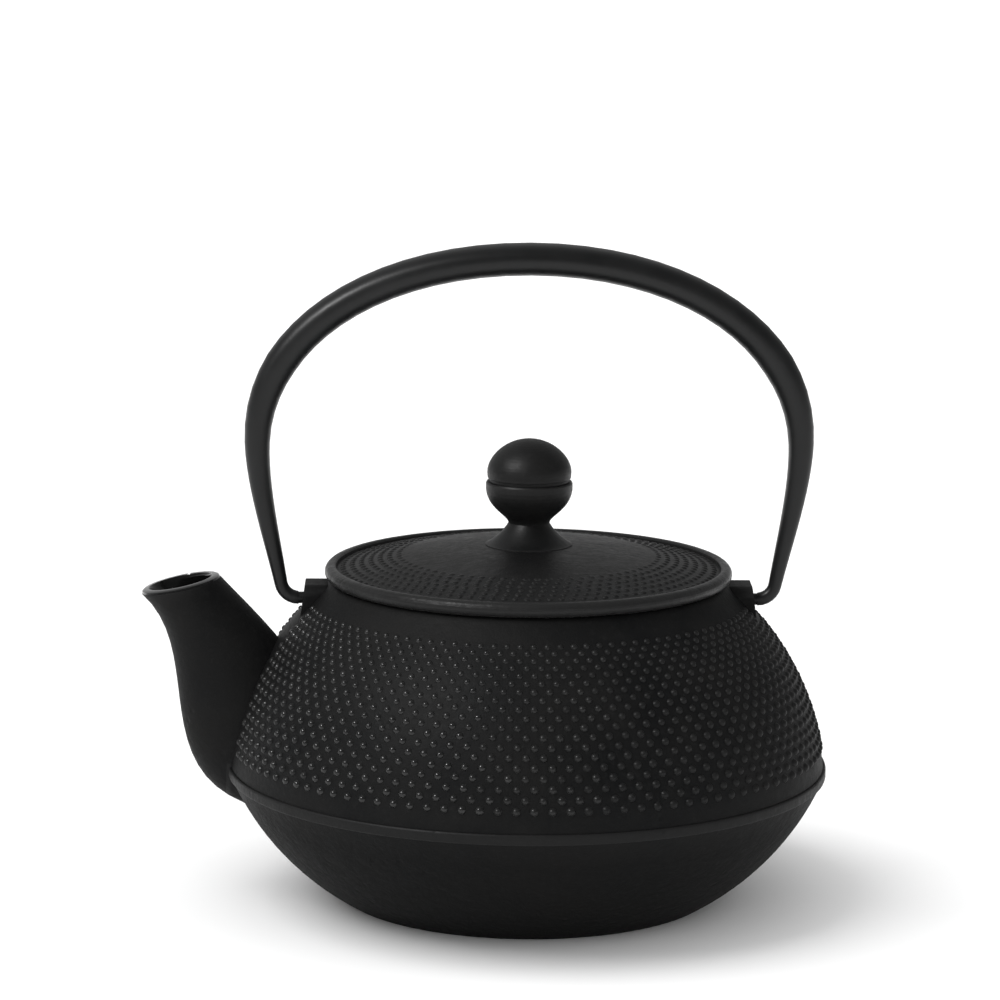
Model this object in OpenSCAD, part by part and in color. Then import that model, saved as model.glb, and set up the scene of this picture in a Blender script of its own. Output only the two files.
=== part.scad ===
// Cast iron teapot with an upright bail, a lift-off lid and a lift-out basket.
// Millimetres. The origin is the centre of the flat underside, +Z is up, the
// spout points along -X and the bail turns about the X line through the lugs.

/* [Pot] */
// largest diameter, over the ridge round the hip
hip_d = 149.6; // [124:0.2:190]
// height of the middle of the ridge
ridge_z = 31.8; // [26:0.2:37]
// height of the ridge band
ridge_h = 2.6; // [1.6:0.2:5]
// how far the ridge stands out of the shell
ridge_out = 0.7; // [0.4:0.1:1.5]
// how far the edge of the flat underside lies inside the hip
foot_in = 27.8; // [25:0.2:36]
// height of the pot's rim
rim_z = 79.3; // [66:0.1:96]
// outer diameter of the rim
rim_d = 100; // [84:1:120]
// thickness of the cast wall
wall = 2.6; // [2:0.1:4]
// thickness of the floor
floor_t = 3.2; // [2.4:0.1:5]
// radius of the curve below the ridge
lower_curve_r = 66; // [46:0.5:100]
// radius of the curve above the ridge
shoulder_curve_r = 67; // [58:0.2:100]
// how far the top of the shoulder lies outside the rim
collar_out = 7; // [4:0.5:10]
// drop from the rim to the top of the shoulder
collar_drop = 8.8; // [7:0.2:12]

/* [Mouth] */
// width of the flat rim outside the recess the basket hangs in
rim_land = 5.9; // [4:0.1:8]
// width of the recess round the mouth
ledge_w = 3.1; // [2.4:0.1:5]
// depth of the recess
ledge_deep = 1.7; // [1.2:0.1:2.5]
// thickness of the ring round the mouth
mouth_ring_t = 4.3; // [3.4:0.1:6]

/* [Lugs and bail pivot] */
// height of the pivot line below the rim
pivot_drop = 5.1; // [5:0.1:6.5]
// how far a lug's face stands outside the rim, at the pivot line
lug_out = 6; // [5:0.1:9]
// width of a lug
lug_w = 13; // [10:0.5:18]
// height of a lug's top above the pivot line
lug_up = 4; // [3.4:0.1:4.8]
// draft of the lug's outer face
lug_draft = 1.2; // [0:0.1:2]
// diameter of the bail's pin
pin_d = 2.9; // [2.4:0.1:4]
// radial clearance between pin and lug
pin_clear = 0.08; // [0.03:0.01:0.1]
// depth of the pin's hole
pin_deep = 5.6; // [4:0.1:6.4]

/* [Spout] */
// how far the tip stands outside the hip
spout_out = 21.2; // [15:0.2:28]
// height of the tip below the rim
spout_drop = 4.1; // [-2:0.1:9]
// width across the mouth of the spout
spout_mouth_w = 19.8; // [16:0.2:24]
// tilt of the spout's mouth
spout_tilt = 12; // [0:1:30]
// width of the spout where it leaves the pot
spout_root_w = 27; // [22:1:34]
// wall of the spout
spout_wall = 2.3; // [1.8:0.1:3]

/* [Lid] */
// how far the bead stands outside the rim
lid_over = 0.6; // [-0.4:0.1:1.6]
// height of the bead
bead_h = 3.7; // [3:0.1:5]
// width of the bead
bead_w = 2.9; // [2:0.1:4]
// how far the lid's surface starts below the bead's top
bead_step = 1.2; // [0.6:0.1:1.8]
// rise of the lid from the bead to the knob
lid_rise = 6.1; // [4:0.1:12]
// thickness of the lid
lid_t = 3; // [2.4:0.1:3.4]
// how far the locating ring hangs below the rim
spigot_drop = 5; // [3:0.2:7]
// thickness of the locating ring
spigot_t = 2.4; // [1.8:0.1:3]

/* [Knob] */
// diameter of the foot
knob_foot_d = 21.6; // [17:0.2:26]
// diameter of the neck
knob_neck_d = 10.2; // [8:0.2:13]
// largest diameter
knob_d = 21.5; // [18:0.1:26]
// height of the knob
knob_h = 26.5; // [22:0.1:32]
// height of the seam between base and cap
knob_seam_h = 16.2; // [14:0.1:18]
// width of the seam groove
seam_w = 0.7; // [0.4:0.1:1]
// depth of the seam groove
seam_deep = 0.9; // [0.4:0.1:1.5]
// diameter of the rivet
rivet_d = 4; // [3:0.1:5]

/* [Bail] */
// height of the bail's outside above the pivot line
bail_h = 88.8; // [84:0.2:100]
// how far the bail's widest place stands outside a lug's face
bail_out = 14.4; // [12:0.1:20]
// height of the widest place above the pivot line
bail_wide_h = 39; // [30:1:46]
// thickness along the top
bail_t = 8; // [6:0.2:10]
// depth along the top
bail_depth = 11.5; // [8:0.5:14]
// gap between a lug's face and the leg
leg_gap = 3.9; // [3:0.1:6]
// radius of the bend above the pin, at the centre line
bend_r = 4.4; // [3.4:0.1:6]

/* [Basket] */
// radial gap between the basket and the mouth
basket_gap = 1.2; // [0.4:0.1:6]
// height of the basket below the rim
basket_h = 44; // [30:1:56]
// thickness of the sheet and of the mesh
sheet_t = 0.5; // [0.3:0.05:0.8]
// height of the plain collar under the flange
basket_collar_h = 7; // [5:0.5:10]
// height of the plain band at the foot
basket_band_h = 4; // [3:0.5:8]

/* [Clearances] */
// between the basket's flange and the recess
flange_clear = 0.5; // [0.3:0.1:1]
// between the lid's locating ring and the basket
spigot_clear = 0.5; // [0.3:0.1:1]
// between the knob's tenon and the cap
tenon_clear = 0.05; // [0.02:0.01:0.1]
// round the rivet in the lid
rivet_clear = 0.2; // [0.1:0.05:0.4]

/* [Hidden] */
$fn = 96;
hip_r = hip_d / 2;
shell_r = hip_r - ridge_out;
foot_r = hip_r - foot_in;
rim_r = rim_d / 2;
ledge_r = rim_r - rim_land;
mouth_r = ledge_r - ledge_w;
collar_r = rim_r + collar_out;
collar_z = rim_z - collar_drop;
pivot_z = rim_z - pivot_drop;
ledge_z = rim_z - ledge_deep;
lug_face = rim_r + lug_out;
pin_r = pin_d / 2;
lid_r = rim_r + lid_over;
bead_in = lid_r - bead_w;
lid_edge_z = rim_z + bead_h - bead_step;
knob_z = lid_edge_z + lid_rise;
knob_flat_r = knob_foot_d / 2 + 0.5;
lid_curve_r = (bead_in * bead_in - knob_flat_r * knob_flat_r) / (2 * lid_rise);
basket_r = mouth_r - basket_gap;
basket_in = basket_r - sheet_t;
spigot_r = basket_in - spigot_clear;
basket_foot_z = rim_z - basket_h;
rivet_r = rivet_d / 2;
tenon_r = knob_d * 0.19;
tenon_h = 3;

// which node to draw

// centre of the circle of radius r through p and q, on the side nearer the axis
function ring_centre(p, q, r) =
    let (m = (p + q) / 2, d = q - p, l = norm(d), h = sqrt(r * r - l * l / 4))
    m + h * [-d[1], d[0]] / l;

// points of the arc about c from p to q, with radius r
function arc_points(c, r, a, b, n) =
    [for (i = [0:n]) let (t = a + (b - a) * i / n) c + r * [cos(t), sin(t)]];

function angle_of(v) = atan2(v[1], v[0]);

function bezier(p, t) =
    pow(1 - t, 3) * p[0] + 3 * t * pow(1 - t, 2) * p[1]
    + 3 * t * t * (1 - t) * p[2] + pow(t, 3) * p[3];

// closed surface over rings of the same number of points
module loft(rings) {
    n = len(rings[0]);
    m = len(rings);
    points = [for (ring = rings) each ring];
    sides = [for (k = [0:m - 2]) for (i = [0:n - 1])
        let (j = (i + 1) % n, a = k * n)
        each [[a + i, a + n + i, a + n + j], [a + i, a + n + j, a + j]]];
    first = [[for (i = [0:n - 1]) i]];
    last = [[for (i = [n - 1:-1:0]) (m - 1) * n + i]];
    polyhedron(points, concat(sides, first, last));
}

low_c = ring_centre([foot_r, 0], [shell_r, ridge_z - ridge_h / 2], lower_curve_r);
top_c = ring_centre([shell_r, ridge_z + ridge_h / 2], [collar_r, collar_z], shoulder_curve_r);

// outline of the pot, moved inwards by t and started at the height z
function shell_points(t, z) =
    let (lr = lower_curve_r - t, ur = shoulder_curve_r - t,
         low_a = asin((z - low_c[1]) / lr),
         low_b = angle_of([shell_r, ridge_z - ridge_h / 2] - low_c),
         top_a = angle_of([shell_r, ridge_z + ridge_h / 2] - top_c),
         top_b = angle_of([collar_r, collar_z] - top_c))
    concat(arc_points(low_c, lr, low_a, low_b, 16), arc_points(top_c, ur, top_a, top_b, 18));

module pot_shell() {
    rotate_extrude($fn = 144)
        polygon(concat([[0, 0]], shell_points(0, 0),
            [[rim_r + 0.9, rim_z - 2.4], [rim_r, rim_z - 1.3], [rim_r - 0.5, rim_z - 0.7],
             [rim_r - 1.2, rim_z - 0.25], [rim_r - 2, rim_z], [0, rim_z]]));
}

module ridge() {
    r = ridge_h / 2;
    rotate_extrude($fn = 144)
        polygon(concat([[shell_r - 2, ridge_z - r]],
            [for (s = [[0, 0], [0.55, 0.02], [0.86, 0.16], [1, 0.42]])
                [shell_r + ridge_out * s[0], ridge_z - r + r * s[1]]],
            [for (s = [[1, 0.42], [0.86, 0.16], [0.55, 0.02], [0, 0]])
                [shell_r + ridge_out * s[0], ridge_z + r - r * s[1]]],
            [[shell_r - 2, ridge_z + r]]));
}

module pot_cavity() {
    ring_z = rim_z - mouth_ring_t;
    rotate_extrude($fn = 144)
        polygon(concat([[0, floor_t]], shell_points(wall, floor_t),
            [[rim_r - wall - 1.6, ring_z], [mouth_r, ring_z], [mouth_r, ledge_z],
             [ledge_r, ledge_z], [ledge_r, rim_z + 1], [0, rim_z + 1]]));
}

// one lug on the +X side, with an inner boss that closes the pin's hole
module lug() {
    inner = lug_face - pin_deep - 2.4;
    low = pivot_z - 5.2;
    top = pivot_z + lug_up;
    intersection() {
        translate([0, lug_w / 2 + 1, 0]) rotate([90, 0, 0])
            linear_extrude(lug_w + 2)
                polygon([[inner, low], [lug_face + lug_draft * 0.55, low],
                    [lug_face - lug_draft * 0.45, top], [inner, top]]);
        translate([inner - 1, 0, 0]) rotate([90, 0, 90])
            linear_extrude(lug_face)
                lug_outline(low, top);
    }
}

module lug_outline(low, top) {
    c = 2.6;
    x = lug_w / 2 - c;
    for (s = [-1, 1]) translate([s * x, top - c]) circle(c, $fn = 32);
    translate([-x, low]) square([2 * x, top - low]);
    translate([-lug_w / 2, low]) square([lug_w, top - low - c]);
}

module lug_hole() {
    translate([lug_face - pin_deep, 0, pivot_z]) rotate([0, 90, 0])
        cylinder(r = pin_r + pin_clear, h = pin_deep + 6, $fn = 48);
}

// the spout's two edges in the XZ plane: the outer one and the one facing the lid
tip = [-hip_r - spout_out, rim_z - spout_drop];
back_lip = tip + (spout_mouth_w + 0.2) * [cos(spout_tilt), sin(spout_tilt)];
root_low = [8.8 - hip_r, ridge_z - 11.3];
root_high = [25.8 - hip_r, ridge_z + 4.2];
outer_edge = [root_low, root_low + [-31, 7.6], tip + [16.6, -15], tip];
inner_edge = [root_high, root_high + [-3, 20], back_lip + [11.2, -12], back_lip];

// one section of the spout: t runs from root to mouth, in is the wall taken off
function spout_ring(t, in, n) =
    let (a = bezier(outer_edge, t), b = bezier(inner_edge, t), c = (a + b) / 2,
         u = (b - a) / norm(b - a), half = norm(b - a) / 2 - in,
         w = spout_mouth_w / 2 + (spout_root_w - spout_mouth_w) / 2 * pow(1 - t, 1.6) - in)
    [for (i = [0:n - 1]) let (q = 360 * i / n)
        [c[0] + half * cos(q) * u[0], w * sin(q), c[1] + half * cos(q) * u[1]]];

// the mouth section, moved along the spout by d and made smaller by in
function mouth_ring(d, in, n) =
    let (ring = spout_ring(1, in, n), up = [-sin(spout_tilt), 0, cos(spout_tilt)])
    [for (p = ring) p + d * up];

module spout_outside() {
    loft(concat([for (i = [0:18]) spout_ring(i / 18, 0, 40)],
        [mouth_ring(0.6, 0.25, 40), mouth_ring(0.9, 0.8, 40)]));
}

module spout_bore() {
    loft(concat([for (i = [0:14]) spout_ring(i / 14, spout_wall, 32)],
        [mouth_ring(0.5, spout_wall - 0.1, 32), mouth_ring(1.4, spout_wall - 0.7, 32)]));
}

module pot_body() {
    color([0.11, 0.11, 0.12]) difference() {
        union() {
            difference() {
                union() {
                    pot_shell();
                    ridge();
                    spout_outside();
                }
                pot_cavity();
                spout_bore();
            }
            lug();
            mirror([1, 0, 0]) lug();
        }
        lug_hole();
        mirror([1, 0, 0]) lug_hole();
    }
}

// height of the lid's upper surface at radius r, or of the surface t below it
function lid_surface(r, t) =
    let (c = knob_z - sqrt(pow(lid_curve_r, 2) - pow(knob_flat_r, 2)))
    c + sqrt(pow(lid_curve_r - t, 2) - r * r);

module lid_outline() {
    edge_r = bead_h / 2;
    top = rim_z + bead_h;
    inner = spigot_r - spigot_t;
    pad = rivet_r + 4;
    polygon(concat(
        [[0, knob_z]],
        [for (i = [0:10]) let (r = knob_flat_r + (bead_in - knob_flat_r) * i / 10)
            [r, lid_surface(r, 0)]],
        [[bead_in + 0.15, top - 0.5], [bead_in + 0.5, top - 0.12]],
        [for (i = [0:12]) let (a = 90 - 15 * i)
            [lid_r - edge_r + edge_r * cos(a), rim_z + edge_r + edge_r * sin(a)]],
        [[spigot_r, rim_z], [spigot_r, rim_z - spigot_drop], [inner, rim_z - spigot_drop]],
        [for (i = [0:8]) let (r = inner - (inner - pad) * i / 8) [r, lid_surface(r, lid_t)]],
        [[pad - 0.3, knob_z - lid_t], [0, knob_z - lid_t]]));
}

module lid() {
    color([0.14, 0.14, 0.14]) difference() {
        rotate_extrude($fn = 144) lid_outline();
        translate([0, 0, knob_z - lid_t - 1])
            cylinder(r = rivet_r + rivet_clear, h = lid_t + 2, $fn = 48);
    }
}

module knob_base() {
    r = knob_d / 2;
    foot = knob_foot_d / 2;
    neck = knob_neck_d / 2;
    seam = knob_seam_h - seam_w / 2;
    waist = knob_seam_h * 0.34;
    flare = [[foot, 0.2], [foot * 0.82, 0.9], [neck + 1, waist * 0.65], [neck, waist]];
    bulb = [[neck, waist], [neck + 0.2, waist + 1.9], [r - 0.45, waist + 3.5],
            [r, knob_seam_h - 2.2]];
    color([0.12, 0.12, 0.12]) translate([0, 0, knob_z]) difference() {
        union() {
            rotate_extrude()
                polygon(concat([[0, 0], [foot, 0]],
                    [for (i = [0:12]) bezier(flare, i / 12)],
                    [for (i = [1:14]) bezier(bulb, i / 14)],
                    [[r, seam - 0.4], [r - 0.2, seam], [r - seam_deep, seam],
                     [r - seam_deep, seam + seam_w], [0, seam + seam_w]]));
            translate([0, 0, seam])
                cylinder(r = tenon_r, h = seam_w + tenon_h, $fn = 64);
        }
        translate([0, 0, -1])
            cylinder(r = rivet_r + 0.03, h = knob_seam_h * 0.6 + 1, $fn = 48);
    }
}

module knob_cap() {
    r = knob_d / 2;
    low = knob_seam_h + seam_w / 2;
    wide = knob_seam_h + (knob_h - knob_seam_h) * 0.2;
    dome = [[r - 0.3, wide], [r - 0.3, wide + (knob_h - wide) * 0.44],
            [r * 0.56, knob_h], [0, knob_h]];
    color([0.12, 0.12, 0.12]) translate([0, 0, knob_z]) difference() {
        rotate_extrude()
            polygon(concat([[0, low], [r - 0.6, low], [r - 0.4, low + 0.4]],
                [for (i = [0:16]) bezier(dome, i / 16)]));
        translate([0, 0, low - 1])
            cylinder(r = tenon_r + tenon_clear, h = tenon_h + 1.2, $fn = 64);
    }
}

module knob_rivet() {
    washer_z = knob_z - lid_t - 0.8;
    color([0.35, 0.35, 0.36]) union() {
        translate([0, 0, washer_z])
            cylinder(r = rivet_r, h = lid_t + 0.8 + knob_seam_h * 0.5, $fn = 48);
        translate([0, 0, washer_z]) rotate_extrude($fn = 48)
            polygon(concat([[0, 0]], [for (i = [0:6]) let (a = -15 * i)
                [(rivet_r + 1.6) * cos(a), 1.5 * sin(a)]]));
    }
}

module rivet_washer() {
    color([0.45, 0.45, 0.46]) translate([0, 0, knob_z - lid_t - 0.8]) difference() {
        cylinder(r = rivet_r + 3, h = 0.8, $fn = 64);
        translate([0, 0, -1]) cylinder(r = rivet_r + rivet_clear, h = 3, $fn = 48);
    }
}

// the bail's centre line on the +X side, in the XZ plane above the pivot line
lean = 11;
leg_foot_x = lug_face + leg_gap + 1.55;
bend_x = leg_foot_x - bend_r * cos(lean);
leg_foot = [leg_foot_x, bend_r * (1 - sin(lean))];
wide_x = lug_face + bail_out - bail_thick(bail_wide_h) / 2;
crown = bail_h - bail_t / 2;

function bail_thick(h) = min(bail_t, 3.3 + (bail_t - 3.3) * (h - 4) / (bail_h * 0.62));

function bail_deep(h) = 3.3 + (bail_depth - 3.3) * pow(max(h - 4, 0) / (crown - 4), 0.9);

bend_path = [for (i = [0:6]) let (a = (90 - lean) * i / 6)
    [bend_x + bend_r * sin(a), bend_r * (1 - cos(a))]];
leg_curve = [leg_foot, leg_foot + 12 * [sin(lean), cos(lean)],
             [wide_x, bail_wide_h - 11], [wide_x, bail_wide_h]];
bow_curve = [[wide_x, bail_wide_h], [wide_x, bail_wide_h + (crown - bail_wide_h) * 0.565],
             [wide_x * 0.595, crown], [0, crown]];
half_path = concat(bend_path, [for (i = [1:12]) bezier(leg_curve, i / 12)],
                   [for (i = [1:18]) bezier(bow_curve, i / 18)]);
half_n = len(half_path);
bail_path = concat(half_path, [for (i = [half_n - 2:-1:0]) [-half_path[i][0], half_path[i][1]]]);

// bulges a cosine or sine so that the section is a slightly squared oval
function fuller(c) = sign(c) * pow(abs(c), 0.86);

function bail_ring(i, n) =
    let (last = len(bail_path) - 1, p = bail_path[i], end = i == 0 || i == last,
         d = bail_path[min(i + 1, last)] - bail_path[max(i - 1, 0)],
         t = end ? [1, 0] : d / norm(d),
         thick = end ? 3.2 : bail_thick(max(p[1], 4)),
         deep = end ? 3.2 : bail_deep(p[1]))
    [for (k = [0:n - 1]) let (q = 360 * k / n, c = thick / 2 * fuller(cos(q)))
        [p[0] + t[1] * c, deep / 2 * fuller(sin(q)), pivot_z + p[1] - t[0] * c]];

module bail_pin() {
    start = lug_face - pin_deep + 0.5;
    translate([start, 0, pivot_z]) rotate([0, 90, 0])
        cylinder(r = pin_r, h = bend_x + 0.6 - start, $fn = 48);
}

module bail() {
    color([0.09, 0.09, 0.1]) union() {
        loft([for (i = [0:len(bail_path) - 1]) bail_ring(i, 28)]);
        bail_pin();
        mirror([1, 0, 0]) bail_pin();
    }
}

module ring(r_out, r_in, h) {
    difference() {
        cylinder(r = r_out, h = h);
        translate([0, 0, -1]) cylinder(r = r_in, h = h + 2);
    }
}

module basket_rim() {
    color([0.75, 0.76, 0.77]) union() {
        translate([0, 0, ledge_z]) ring(ledge_r - flange_clear, basket_in, sheet_t);
        translate([0, 0, ledge_z - basket_collar_h])
            ring(basket_r, basket_in, basket_collar_h + sheet_t);
    }
}

module basket_wall() {
    low = basket_foot_z + basket_band_h;
    color([0.68, 0.69, 0.7]) translate([0, 0, low])
        ring(basket_r, basket_in, ledge_z - basket_collar_h - low);
}

module basket_band() {
    color([0.75, 0.76, 0.77]) translate([0, 0, basket_foot_z]) union() {
        ring(basket_r, basket_in, basket_band_h);
        ring(basket_r, basket_in - 2.5, sheet_t);
    }
}

module basket_base() {
    color([0.68, 0.69, 0.7]) translate([0, 0, basket_foot_z + sheet_t])
        cylinder(r = basket_in - 0.3, h = sheet_t);
}

pot_body();
lid();
knob_base();
knob_cap();
knob_rivet();
rivet_washer();
bail();
basket_rim();
basket_wall();
basket_band();
basket_base();
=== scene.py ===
import math
import random

import bmesh
import bpy
from mathutils import Matrix, Vector
from mathutils.bvhtree import BVHTree


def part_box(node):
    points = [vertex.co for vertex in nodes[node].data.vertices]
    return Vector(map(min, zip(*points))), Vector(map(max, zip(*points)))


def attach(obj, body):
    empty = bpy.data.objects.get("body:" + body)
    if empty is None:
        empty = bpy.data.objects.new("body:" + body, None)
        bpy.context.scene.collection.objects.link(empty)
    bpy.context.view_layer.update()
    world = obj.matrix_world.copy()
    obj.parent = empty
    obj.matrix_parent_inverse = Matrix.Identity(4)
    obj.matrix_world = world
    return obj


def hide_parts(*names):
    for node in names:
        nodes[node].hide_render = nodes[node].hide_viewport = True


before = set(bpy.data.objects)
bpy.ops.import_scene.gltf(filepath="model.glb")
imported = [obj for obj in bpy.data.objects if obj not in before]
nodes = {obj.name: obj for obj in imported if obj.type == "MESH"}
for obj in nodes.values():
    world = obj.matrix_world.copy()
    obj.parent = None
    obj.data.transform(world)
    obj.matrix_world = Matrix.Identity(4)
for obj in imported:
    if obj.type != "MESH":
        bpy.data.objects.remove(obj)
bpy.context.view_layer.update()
MM = 0.001
UP = (0, 0, 1)

# places on the pot that the finishes follow
RIDGE_FACE_R = 74.3 * MM    # the ridge's outer face starts here, over the hip
RIDGE_TOP_Z = 34.0 * MM
BEAD_INNER_R = 47.6 * MM    # where the lid's bead starts
LOWER_BODY_Z = (24 * MM, 33 * MM)   # below the ridge the casting is rougher and its colour painted darker, a painted shade; both fade out between these
# centre (radius, height) and radius of the two arcs along the wall's middle, in mm
WALL_ARCS = (((7.56, 25.28), 65.7), ((13.63, 56.94), 64.7))
FLOOR_MIDDLE_Z = 1.6 * MM
MOUTH_IN, MOUTH_Z = 9.8 * MM, 77.3 * MM     # the spout mouth's centre, in from the pot's own edge
MOUTH_HALF_L, MOUTH_HALF_W = 7.3 * MM, 8.9 * MM
MOUTH_LOW_Z = 68.0 * MM

# the raised dots
DOTS_PER_ROW = 108
DOTS_TOP_DROP = 6.7 * MM    # top row below the pot's rim
DOTS_RIDGE_GAP = 4.8 * MM   # lowest row above the ridge
ROW_STEP = 0.605            # share of the pitch along a row
DOT_SIZE = 0.22             # dot radius as a share of the pitch
LID_DOTS_IN = 4.5 * MM      # outer ring in from the lid's edge
LID_DOTS_INNER = 30.5       # inner limit in mm
LID_RING_STEP, LID_DOT_PITCH = 2.3 * MM, 2.75 * MM
LID_DOT_R, LID_DOT_H = 0.76 * MM, 0.34 * MM

# the basket's woven wire
WIRE_R = 0.13 * MM
WALL_POSTS, WALL_ROW = 200, 1.2 * MM
BASE_GAP = 1.25 * MM


# ---------------------------------------------------------------- geometry
def add_mesh(name, verts, faces, material):
    """A smooth-shaded piece with one material."""
    mesh = bpy.data.meshes.new(name)
    mesh.from_pydata(verts, [], faces)
    mesh.polygons.foreach_set("use_smooth", [True] * len(mesh.polygons))
    mesh.update()
    mesh.materials.append(material)
    obj = bpy.data.objects.new(name, mesh)
    bpy.context.scene.collection.objects.link(obj)
    return obj


class Pearls:
    """Raised dots of cast iron: each a closed dome whose skirt is sunk in the wall."""

    # radius and height of each ring, as shares of the dot's own; the last lies on the wall
    RINGS = ((0.42, 0.93), (0.74, 0.66), (0.95, 0.25), (1.12, 0.0))
    SIDES = 10

    def __init__(self):
        self.verts, self.faces = [], []

    def add(self, place, normal, radius, height, sink=0.35 * MM):
        normal = normal.normalized()
        side = normal.orthogonal().normalized()
        other = normal.cross(side)
        first = len(self.verts)
        n = self.SIDES
        self.verts.append(place + normal * height)
        levels = [(r * radius, h * height) for r, h in self.RINGS] + [(radius, -sink)]
        for r, h in levels:
            for i in range(n):
                a = math.tau * i / n
                self.verts.append(place + side * (r * math.cos(a)) + other * (r * math.sin(a)) + normal * h)
        for i in range(n):
            j = (i + 1) % n
            self.faces.append((first, first + 1 + i, first + 1 + j))
            for k in range(len(levels) - 1):
                a, b = first + 1 + k * n, first + 1 + (k + 1) * n
                self.faces.append((a + i, b + i, b + j, a + j))
        last = first + 1 + (len(levels) - 1) * n
        self.faces.append(tuple(last + i for i in range(n - 1, -1, -1)))


class Wires:
    """Round wires of a woven mesh, each a closed tube along its own points."""

    SIDES = 5

    def __init__(self, radius):
        self.radius = radius
        self.verts, self.faces = [], []

    def add(self, path, outward, loop=False):
        n, first, count = self.SIDES, len(self.verts), len(path)
        for k, p in enumerate(path):
            a = path[k - 1] if k or loop else p
            b = path[(k + 1) % count] if k < count - 1 or loop else p
            along = (b - a).normalized()
            up = outward[k]
            across = along.cross(up).normalized()
            up = across.cross(along)
            for i in range(n):
                t = math.tau * i / n
                self.verts.append(p + self.radius * (across * math.cos(t) + up * math.sin(t)))
        for k in range(count if loop else count - 1):
            a, b = first + k * n, first + ((k + 1) % count) * n
            for i in range(n):
                j = (i + 1) % n
                self.faces.append((a + i, a + j, b + j, b + i))
        if not loop:
            last = first + (count - 1) * n
            self.faces.append(tuple(first + i for i in range(n - 1, -1, -1)))
            self.faces.append(tuple(last + i for i in range(n)))


# --------------------------------------------------------------- materials
class Look:
    """A short way to write one material's node tree."""

    def __init__(self, name):
        self.mat = bpy.data.materials.new(name)
        self.mat.use_nodes = True
        self.tree = self.mat.node_tree
        self.bsdf = self.tree.nodes["Principled BSDF"]
        self.coord = self.add("ShaderNodeTexCoord").outputs["Object"]

    def add(self, kind, **props):
        node = self.tree.nodes.new(kind)
        for key, value in props.items():
            setattr(node, key, value)
        return node

    def put(self, value, socket):
        if isinstance(value, bpy.types.NodeSocket):
            self.tree.links.new(value, socket)
        elif isinstance(value, (tuple, list)) and len(socket.default_value) == 4:
            socket.default_value = (*value, 1.0)
        else:
            socket.default_value = value

    def set(self, **values):
        for key, value in values.items():
            self.put(value, self.bsdf.inputs[key.replace("_", " ")])

    def noise(self, scale, detail=4.0, rough=0.6, warp=0.0):
        n = self.add("ShaderNodeTexNoise")
        for key, v in (("Vector", self.coord), ("Scale", scale), ("Detail", detail),
                       ("Roughness", rough), ("Distortion", warp)):
            self.put(v, n.inputs[key])
        return n.outputs["Fac"]

    def cells(self, scale):
        n = self.add("ShaderNodeTexVoronoi")
        self.put(self.coord, n.inputs["Vector"])
        self.put(scale, n.inputs["Scale"])
        return n.outputs["Distance"]

    def span(self, value, a, b, c=0.0, d=1.0):
        n = self.add("ShaderNodeMapRange", clamp=True)
        for key, v in zip(("Value", "From Min", "From Max", "To Min", "To Max"), (value, a, b, c, d)):
            self.put(v, n.inputs[key])
        return n.outputs["Result"]

    def math(self, op, a, b=0.0):
        n = self.add("ShaderNodeMath", operation=op)
        self.put(a, n.inputs[0])
        self.put(b, n.inputs[1])
        return n.outputs[0]

    def radius(self):
        """Distance of the surface point from the pot's vertical axis, in metres."""
        flat = self.add("ShaderNodeVectorMath", operation="MULTIPLY")
        self.put(self.coord, flat.inputs[0])
        flat.inputs[1].default_value = (1.0, 1.0, 0.0)
        length = self.add("ShaderNodeVectorMath", operation="LENGTH")
        self.put(flat.outputs["Vector"], length.inputs[0])
        return length.outputs["Value"]

    def along(self, direction, origin):
        """How far the surface point lies along a direction from an origin, in metres."""
        n = self.add("ShaderNodeVectorMath", operation="DOT_PRODUCT")
        self.put(self.coord, n.inputs[0])
        n.inputs[1].default_value = direction
        return self.math("SUBTRACT", n.outputs["Value"], Vector(direction).dot(Vector(origin)))

    def mix(self, fac, a, b):
        n = self.add("ShaderNodeMix", data_type="RGBA")
        for i, v in ((0, fac), (6, a), (7, b)):
            self.put(v, n.inputs[i])
        return n.outputs[2]

    def bump(self, height, distance, strength=1.0):
        n = self.add("ShaderNodeBump")
        for key, v in (("Height", height), ("Distance", distance), ("Strength", strength)):
            self.put(v, n.inputs[key])
        return n.outputs["Normal"]

    def edges(self, low=0.52, high=0.6):
        return self.span(self.add("ShaderNodeNewGeometry").outputs["Pointiness"], low, high)


def grey(v, tint=0.0):
    """A grey, cooler with a positive tint and warmer with a negative one."""
    return (v * (1 - tint), v, v * (1 + tint))


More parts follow.
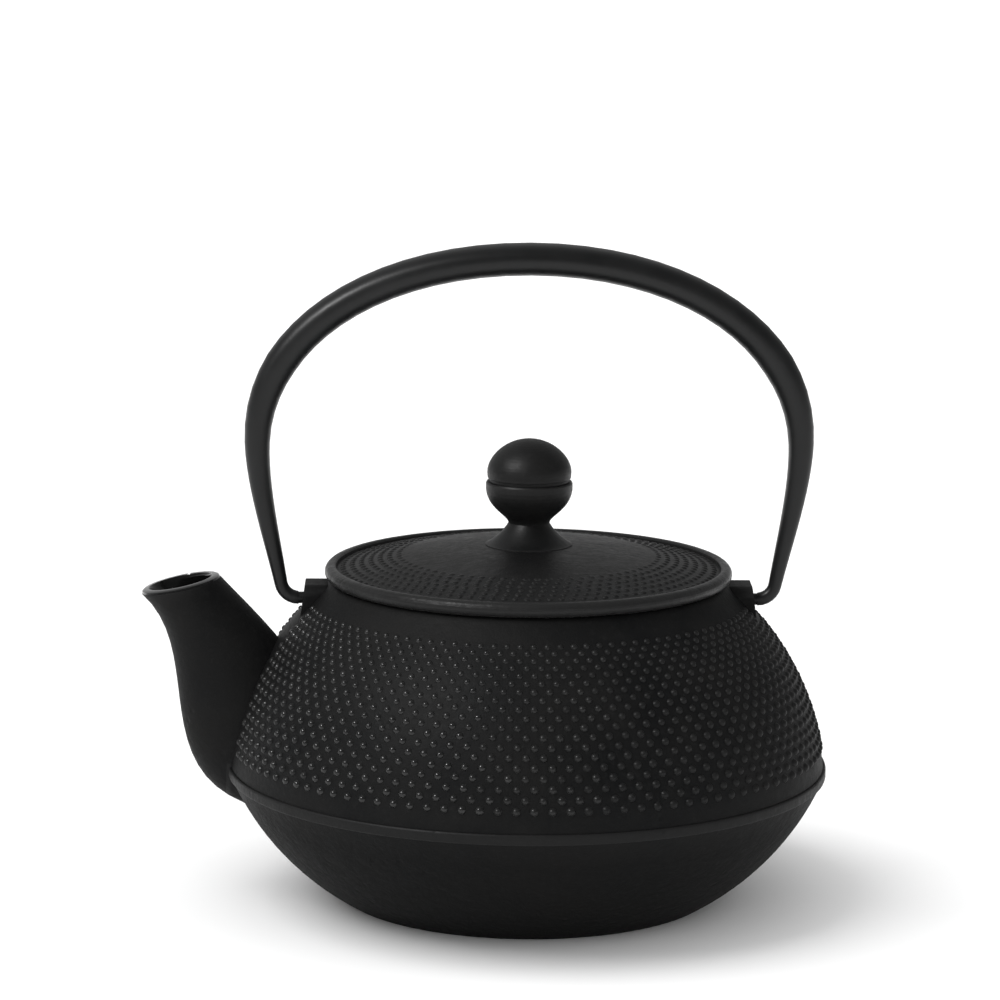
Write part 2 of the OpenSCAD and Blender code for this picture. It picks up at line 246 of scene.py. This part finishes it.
def cast_iron(name, base, rough, grain, level, lumps=0.0, painted_sheen_from=0.0, enamel=None):
    """Black cast iron: sand grain, pits, lumps and rubbed edges.

    Beyond a radius it is smoother and its colour is painted lighter, a painted highlight. With an enamel
    mask it is the pot: the band beyond the radius is then the ridge alone, and the casting below the ridge
    is rougher and its colour painted darker, a painted shade.
    """
    m = Look(name)
    fine = m.noise(2400.0, 3.0, 0.65)
    sand = m.noise(750.0, 4.0, 0.65)
    broad = m.noise(48.0, 4.0, 0.6, 0.4)
    pits = m.math("MULTIPLY", m.span(m.cells(300.0), 0.05, 0.3, 1.0, 0.0),
                  m.span(m.noise(95.0, 2.0, 0.5), 0.57, 0.66))
    wear = m.edges()
    colour = m.mix(m.span(broad, 0.35, 0.68), grey(base * 0.85, 0.04), grey(base * 1.3, -0.02))
    colour = m.mix(m.span(sand, 0.55, 0.8, 0.0, 0.5), colour, grey(base * 2.2))
    colour = m.mix(m.math("MULTIPLY", wear, 0.55), colour, grey(base * 4.0))
    roughness = m.math("ADD", m.span(sand, 0.3, 0.7, rough - 0.06, rough + 0.06),
                       m.span(broad, 0.3, 0.7, -0.05, 0.05))
    height = m.math("ADD", m.math("MULTIPLY", sand, 0.7), m.math("MULTIPLY", fine, 0.3))
    height = m.math("SUBTRACT", height, m.math("MULTIPLY", pits, 1.3))
    coarse = m.noise(230.0, 3.0, 0.55, 0.5)
    # painted highlight on the lid's bead and the pot's ridge: lighter colour and a smoother surface beyond
    # the radius
    if painted_sheen_from:
        r = m.radius()
        painted_sheen = m.span(r, painted_sheen_from - 0.3 * MM, painted_sheen_from + 0.3 * MM)
        if enamel is not None:
            near = m.span(r, painted_sheen_from + 0.9 * MM, painted_sheen_from + 1.1 * MM, 1.0, 0.0)
            below = m.span(m.along(UP, (0, 0, 0)), RIDGE_TOP_Z, RIDGE_TOP_Z + 0.5 * MM, 1.0, 0.0)
            painted_sheen = m.math("MULTIPLY", m.math("MULTIPLY", painted_sheen, near), below)
        colour = m.mix(m.math("MULTIPLY", painted_sheen, 0.6), colour, grey(base * 2.6))
        roughness = m.math("SUBTRACT", roughness, m.math("MULTIPLY", painted_sheen, 0.1))
    if enamel is not None:
        # painted shade: the colour below the ridge is darkened toward black; the casting there is also
        # lumpier and rougher
        low = m.span(m.along(UP, (0, 0, 0)), *LOWER_BODY_Z, 1.0, 0.0)
        colour = m.mix(m.math("MULTIPLY", low, 0.36), colour, grey(0.0006))
        coarse = m.math("MULTIPLY", coarse, m.math("ADD", 0.45, m.math("MULTIPLY", low, 0.9)))
        roughness = m.math("ADD", roughness, m.math("MULTIPLY", low, 0.12))
    height = m.math("ADD", height, m.math("MULTIPLY", coarse, lumps))
    if enamel is not None:
        mask = enamel(m)
        colour = m.mix(mask, colour, grey(0.006))
        roughness = m.math("ADD", m.math("MULTIPLY", roughness, m.math("SUBTRACT", 1.0, mask)),
                           m.math("MULTIPLY", mask, 0.16))
        height = m.math("MULTIPLY", height, m.math("SUBTRACT", 1.0, m.math("MULTIPLY", mask, 0.85)))
        m.set(Coat_Weight=mask, Coat_Roughness=0.12)
    m.set(Base_Color=colour, Roughness=roughness, Specular_IOR_Level=level,
          Normal=m.bump(height, grain, 0.9))
    return m.mat


def disc(m, r, z, centre, radius):
    """1 where the outline point (r, z) lies within a circle of the pot's section."""
    a = m.math("SUBTRACT", r, centre[0] * MM)
    b = m.math("SUBTRACT", z, centre[1] * MM)
    d = m.math("ADD", m.math("MULTIPLY", a, a), m.math("MULTIPLY", b, b))
    return m.math("LESS_THAN", d, (radius * MM) ** 2)


def inside_pot(m):
    """The pot's hollow, and the bore and lip of the spout's mouth."""
    z = m.along(UP, (0, 0, 0))
    r = m.radius()
    upper, lower = (disc(m, r, z, *arc) for arc in WALL_ARCS)
    hollow = m.math("MULTIPLY", upper, lower)
    hollow = m.math("MULTIPLY", hollow, m.math("GREATER_THAN", z, FLOOR_MIDDLE_Z))
    centre = (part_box("pot_body")[0][0] + MOUTH_IN, 0.0, MOUTH_Z)
    e = m.math("DIVIDE", m.along((0.69, 0, 0.72), centre), MOUTH_HALF_L)
    y = m.math("DIVIDE", m.along((0, 1, 0), centre), MOUTH_HALF_W)
    d = m.math("ADD", m.math("MULTIPLY", e, e), m.math("MULTIPLY", y, y))
    bore = m.math("MULTIPLY", m.math("LESS_THAN", d, 1.0), m.math("GREATER_THAN", z, MOUTH_LOW_Z))
    lip = m.math("MULTIPLY", m.math("GREATER_THAN", m.along((-0.208, 0, 0.978), centre), 0.1 * MM),
                 m.math("LESS_THAN", m.along((1, 0, 0), (-0.07, 0, 0)), 0.0))
    return m.math("MAXIMUM", hollow, m.math("MAXIMUM", bore, lip))


def satin_black(name):
    """The bail's paint, rubbed lighter on its edges."""
    m = Look(name)
    soft = m.noise(70.0, 3.0, 0.5)
    grain = m.noise(1500.0, 3.0, 0.6)
    colour = m.mix(m.span(soft, 0.3, 0.7), grey(0.006, 0.03), grey(0.010, 0.03))
    colour = m.mix(m.math("MULTIPLY", m.edges(0.53, 0.62), 0.35), colour, grey(0.05))
    m.set(Base_Color=colour, Roughness=m.span(soft, 0.3, 0.7, 0.36, 0.44), Specular_IOR_Level=0.3,
          Normal=m.bump(grain, 0.05 * MM, 0.5))
    return m.mat


def steel(name, base, rough, scale):
    """Plain steel with a fine grain."""
    m = Look(name)
    fine = m.noise(scale, 3.0, 0.6)
    soft = m.noise(60.0, 3.0, 0.5)
    colour = m.mix(m.span(soft, 0.3, 0.7), grey(base * 0.85), grey(base, 0.01))
    m.set(Base_Color=colour, Metallic=1.0, Roughness=m.span(fine, 0.3, 0.7, rough - 0.06, rough + 0.08),
          Normal=m.bump(fine, 0.02 * MM, 0.5))
    return m.mat


iron = cast_iron("iron_body", 0.0068, 0.58, 0.14 * MM, 0.09, 2.2, RIDGE_FACE_R, inside_pot)
# three copies of one dot material, glossiest to dull; placed by side, they paint glints of light falling
# from the left (painted highlights)
dot_looks = {"painted_sheen": cast_iron("iron_dots_painted_sheen", 0.007, 0.28, 0.04 * MM, 0.4),
             "faint_sheen": cast_iron("iron_dots_faint_sheen", 0.007, 0.34, 0.04 * MM, 0.25),
             "dull": cast_iron("iron_dots_dull", 0.007, 0.44, 0.04 * MM, 0.13)}
iron_lid = cast_iron("iron_lid", 0.0076, 0.46, 0.10 * MM, 0.15, 2.8, BEAD_INNER_R)
iron_knob = cast_iron("iron_knob", 0.0075, 0.47, 0.05 * MM, 0.2)
paint = satin_black("bail_satin_black")
plated = steel("rivet_steel", 0.34, 0.42, 1800.0)
sheet = steel("basket_sheet", 0.62, 0.28, 900.0)
wire = steel("basket_wire", 0.5, 0.33, 2500.0)
for mat, names in ((iron, ("pot_body",)), (iron_lid, ("lid",)), (iron_knob, ("knob_base", "knob_cap")),
                   (paint, ("bail",)), (plated, ("knob_rivet", "rivet_washer")),
                   (sheet, ("basket_rim", "basket_band")), (wire, ("basket_wall", "basket_base"))):
    for name in names:
        nodes[name].data.materials.clear()
        nodes[name].data.materials.append(mat)


# ---------------------------------------------- smooth copies of CAD nodes
def smooth_copy(node, name, body, material, limit=34.0):
    """The node's own surface with its points joined and its facets shaded smooth."""
    bm = bmesh.new()
    bm.from_mesh(nodes[node].data)
    bmesh.ops.remove_doubles(bm, verts=bm.verts, dist=0.004 * MM)
    bm.verts.index_update()
    verts = [v.co.copy() for v in bm.verts]
    faces = [[v.index for v in f.verts] for f in bm.faces]
    bm.free()
    piece = add_mesh(name, verts, faces, material)
    bm = bmesh.new()
    bm.from_mesh(piece.data)
    for edge in bm.edges:
        edge.smooth = edge.calc_face_angle(0.0) < math.radians(limit)
    bm.to_mesh(piece.data)
    bm.free()
    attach(piece, body)
    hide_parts(node)


smooth_copy("pot_body", "pot_casting", "pot", iron)
smooth_copy("bail", "bail_forging", "bail", paint)

# ------------------------------------------------------------ raised dots
draw = random.Random(7)


def tree_of(name):
    mesh = nodes[name].data
    return BVHTree.FromPolygons([v.co.copy() for v in mesh.vertices], [p.vertices[:] for p in mesh.polygons])


def body_radius(tree, angle, z):
    """Radius of the outer surface at a height, and where the ray met it."""
    out = Vector((math.cos(angle), math.sin(angle), 0.0))
    hit = tree.ray_cast(out * 0.2 + Vector((0, 0, z)), -out)[0]
    return hit.to_2d().length, hit


def sheen_side_at(x):
    """Which gloss copy a dot gets: the glossiest left of the middle and the dull one at the right, painted
    glints for light falling from the left.
    """
    if x > 12 * MM:
        return "dull"
    return "faint_sheen" if x > -12 * MM or x < -58 * MM else "painted_sheen"


def body_dots():
    tree = tree_of("pot_body")
    back = math.radians(90.6)
    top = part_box("pot_body")[1][2] - DOTS_TOP_DROP
    heights = [(20 + 0.2 * i) * MM for i in range(200)]
    ridge = max((body_radius(tree, back, z)[0], z) for z in heights)[1]
    dots = {sheen_side: Pearls() for sheen_side in dot_looks}
    z, row = top, 0
    while z > ridge + DOTS_RIDGE_GAP:
        r = body_radius(tree, back, z)[0]
        low = body_radius(tree, back, z - 0.6 * MM)[0]
        high = body_radius(tree, back, z + 0.6 * MM)[0]
        slope = Vector((low - high, -1.2 * MM)).normalized()
        pitch = math.tau * r / DOTS_PER_ROW
        for i in range(DOTS_PER_ROW):
            angle = math.tau * (i + 0.5 * (row % 2)) / DOTS_PER_ROW + draw.uniform(-0.08, 0.08) * MM / r
            size = pitch * DOT_SIZE * draw.uniform(0.94, 1.05)
            tall = draw.uniform(0.92, 1.06) * (0.5 + 0.16 * (pitch / MM - 3.1)) * MM
            keep = True
            # no dot on or beside the spout and the lugs, and lower ones near them
            for reach in (0.0, 1.6, 3.0):
                for k in range(8 if reach else 1):
                    a = angle + reach * MM / r * math.cos(math.tau * k / 8)
                    h = reach * MM * math.sin(math.tau * k / 8)
                    want = body_radius(tree, back, z + h)[0]
                    if abs(body_radius(tree, a, z + h)[0] - want) > 0.35 * MM:
                        if reach > 2:
                            tall *= 0.9
                        else:
                            keep = False
            if keep:
                place = body_radius(tree, angle, z)[1]
                normal = Vector((-slope.y * math.cos(angle), -slope.y * math.sin(angle), slope.x))
                dots[sheen_side_at(place.x + draw.uniform(-7, 7) * MM)].add(place, normal, size, tall)
        step = ROW_STEP * pitch
        z -= step * -slope.y
        row += 1
    return dots


def lid_dots():
    tree = tree_of("lid")
    dots = Pearls()
    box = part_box("lid")
    edge = (box[1][0] - box[0][0]) / 2

    def surface(r, angle=0.3):
        place = Vector((r * math.cos(angle), r * math.sin(angle), 0.2))
        return tree.ray_cast(place, Vector((0, 0, -1)))[0]
    r, row = edge - LID_DOTS_IN, 0
    while r > LID_DOTS_INNER * MM:
        count = round(math.tau * r / LID_DOT_PITCH)
        rise = surface(r - 0.6 * MM).z - surface(r + 0.6 * MM).z
        fade = min(1.0, 0.45 + (r / MM - LID_DOTS_INNER) / 9)
        for i in range(count):
            angle = math.tau * (i + 0.5 * (row % 2)) / count + draw.uniform(-0.06, 0.06) * MM / r
            normal = Vector((rise * math.cos(angle), rise * math.sin(angle), 1.2 * MM))
            dots.add(surface(r, angle), normal, LID_DOT_R * draw.uniform(0.92, 1.06),
                     LID_DOT_H * fade * draw.uniform(0.9, 1.08))
        r -= LID_RING_STEP
        row += 1
    return dots


dot_sets = [("dots_body_" + sheen_side, dots, "pot", dot_looks[sheen_side]) for sheen_side, dots in body_dots().items()]
for name, dots, body, material in dot_sets + [("dots_lid", lid_dots(), "lid", iron_lid)]:
    piece = add_mesh(name, dots.verts, dots.faces, material)
    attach(piece, body)


# ------------------------------------------------------------ woven basket
def woven_wall():
    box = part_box("basket_wall")
    low, high = box[0][2], box[1][2]
    outer = (box[1][0] - box[0][0]) / 2
    radius = WIRE_R
    mid = outer - 2 * radius
    rows = round((high - low) / WALL_ROW)
    gap = (high - low) / rows
    wires = Wires(radius)

    def at(angle, z, lift):
        out = Vector((math.cos(angle), math.sin(angle), 0.0))
        return out * (mid + lift) + Vector((0, 0, z)), out
    for i in range(WALL_POSTS):
        angle = math.tau * i / WALL_POSTS
        points = [at(angle, low + radius, 0.0)]
        points += [at(angle, low + gap * (k + 0.5), radius if (i + k) % 2 else -radius)
                   for k in range(rows)]
        points += [at(angle, high - radius, 0.0)]
        wires.add([p for p, _ in points], [o for _, o in points])
    for k in range(rows):
        z = low + gap * (k + 0.5)
        points = [at(math.tau * i / WALL_POSTS, z, -radius if (i + k) % 2 else radius)
                  for i in range(WALL_POSTS)]
        wires.add([p for p, _ in points], [o for _, o in points], loop=True)
    return wires


def woven_base():
    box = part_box("basket_base")
    radius = WIRE_R
    edge = (box[1][0] - box[0][0]) / 2 - radius
    z = (box[0][2] + box[1][2]) / 2
    gap = BASE_GAP
    half = int(edge / gap)
    up = Vector(UP)
    wires = Wires(radius)
    for turn in (0, 1):
        for i in range(-half, half + 1):
            reach = math.sqrt(max(edge ** 2 - (i * gap) ** 2, 0.0))
            last = int(reach / gap)
            if last < 1:
                continue
            stops = [-reach] + [k * gap for k in range(-last, last + 1)] + [reach]
            path = []
            for s in stops:
                k = round(s / gap)
                lift = 0.0 if abs(s) == reach else radius * (1 if (i + k + turn) % 2 else -1)
                path.append(Vector((s, i * gap, z + lift)) if turn else Vector((i * gap, s, z + lift)))
            wires.add(path, [up] * len(path))
    return wires


for name, wires, node in (("basket_wall_mesh", woven_wall(), "basket_wall"),
                          ("basket_base_mesh", woven_base(), "basket_base")):
    piece = add_mesh(name, wires.verts, wires.faces, wire)
    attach(piece, "basket")
    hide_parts(node)

# ------------------------------------------------------------------ stage
floor_look = Look("floor_white")
floor_look.set(Base_Color=floor_look.mix(floor_look.noise(2.0, 2.0, 0.5), grey(0.92), grey(0.94)),
               Roughness=0.9, Specular_IOR_Level=0.0)
FLOOR_R, FLOOR_SIDES = 30, 96
floor = add_mesh("floor", [(FLOOR_R * math.cos(a), FLOOR_R * math.sin(a), 0.0)
                           for a in [math.tau * i / FLOOR_SIDES for i in range(FLOOR_SIDES)]],
                 [tuple(range(FLOOR_SIDES))], floor_look.mat)

world = bpy.data.worlds.new("studio")
bpy.context.scene.world = world
world.use_nodes = True
sky = world.node_tree
sky.nodes["Background"].inputs["Color"].default_value = (1.0, 1.0, 1.0, 1.0)


def blend(factor, a, b):
    node = sky.nodes.new("ShaderNodeMix")
    for key, value in (("Factor", factor), ("A", a), ("B", b)):
        if isinstance(value, float):
            node.inputs[key].default_value = value
        else:
            sky.links.new(value, node.inputs[key])
    return node.outputs["Result"]


def ramp(value, start, stop, low, high):
    node = sky.nodes.new("ShaderNodeMapRange")
    sky.links.new(value, node.inputs["Value"])
    for key, v in (("From Min", start), ("From Max", stop), ("To Min", low), ("To Max", high)):
        node.inputs[key].default_value = v
    return node.outputs["Result"]


# the room: white where it is seen, even for soft light, and in reflections a white
# backdrop behind the pot, a dim studio in front of it and a dimmer right side
path = sky.nodes.new("ShaderNodeLightPath").outputs
way = sky.nodes.new("ShaderNodeSeparateXYZ")
sky.links.new(sky.nodes.new("ShaderNodeTexCoord").outputs["Generated"], way.inputs[0])
seen = sky.nodes.new("ShaderNodeMath")
seen.operation = "MULTIPLY"
sky.links.new(ramp(way.outputs["Y"], -0.3, 0.8, 0.12, 0.52), seen.inputs[0])
sky.links.new(ramp(way.outputs["X"], -1.0, 1.0, 1.25, 0.55), seen.inputs[1])
strength = blend(path["Is Camera Ray"], blend(path["Is Glossy Ray"], 0.93, seen.outputs["Value"]), 1.0)
sky.links.new(strength, sky.nodes["Background"].inputs["Strength"])


def light(name, kind, place, target, power, **props):
    data = bpy.data.lights.new(name, kind)
    data.energy = power
    for key, value in props.items():
        setattr(data, key, value)
    obj = bpy.data.objects.new(name, data)
    bpy.context.scene.collection.objects.link(obj)
    obj.location = place
    obj.rotation_euler = (Vector(target) - Vector(place)).to_track_quat("-Z", "Y").to_euler()
    return obj


# the key makes the soft floor shadow, and the glint light only makes highlights
key = light("key", "SUN", (-0.66, -0.03, 1.0), (0, 0, 0), 1.6, angle=math.radians(45))
key.visible_glossy = False
glint = light("glint", "AREA", (-0.85, -0.6, 1.05), (0, 0, 0.06), 16.0,
              shape="RECTANGLE", size=0.12, size_y=0.12)
glint.visible_diffuse = False

# ----------------------------------------------------------------- camera
turn, pitch, roll = math.radians(-1.5), math.radians(10.138), math.radians(0.518)
far, high = 0.9624, 0.26894
forward = Vector((-math.sin(turn) * math.cos(pitch), math.cos(turn) * math.cos(pitch), -math.sin(pitch)))
aim = forward.to_track_quat("-Z", "Y").to_matrix() @ Matrix.Rotation(roll, 3, "Z")
lens = bpy.data.cameras.new("camera")
lens.sensor_width, lens.lens = 36.0, 141.95
lens.shift_x, lens.shift_y = -0.02905, 0.00858
lens.clip_start, lens.clip_end = 0.01, 60.0
camera = bpy.data.objects.new("camera", lens)
bpy.context.scene.collection.objects.link(camera)
camera.matrix_world = Matrix.Translation((far * math.sin(turn), -far * math.cos(turn), high)) @ aim.to_4x4()
bpy.context.scene.camera = camera
bpy.context.scene.view_settings.view_transform = "Standard"
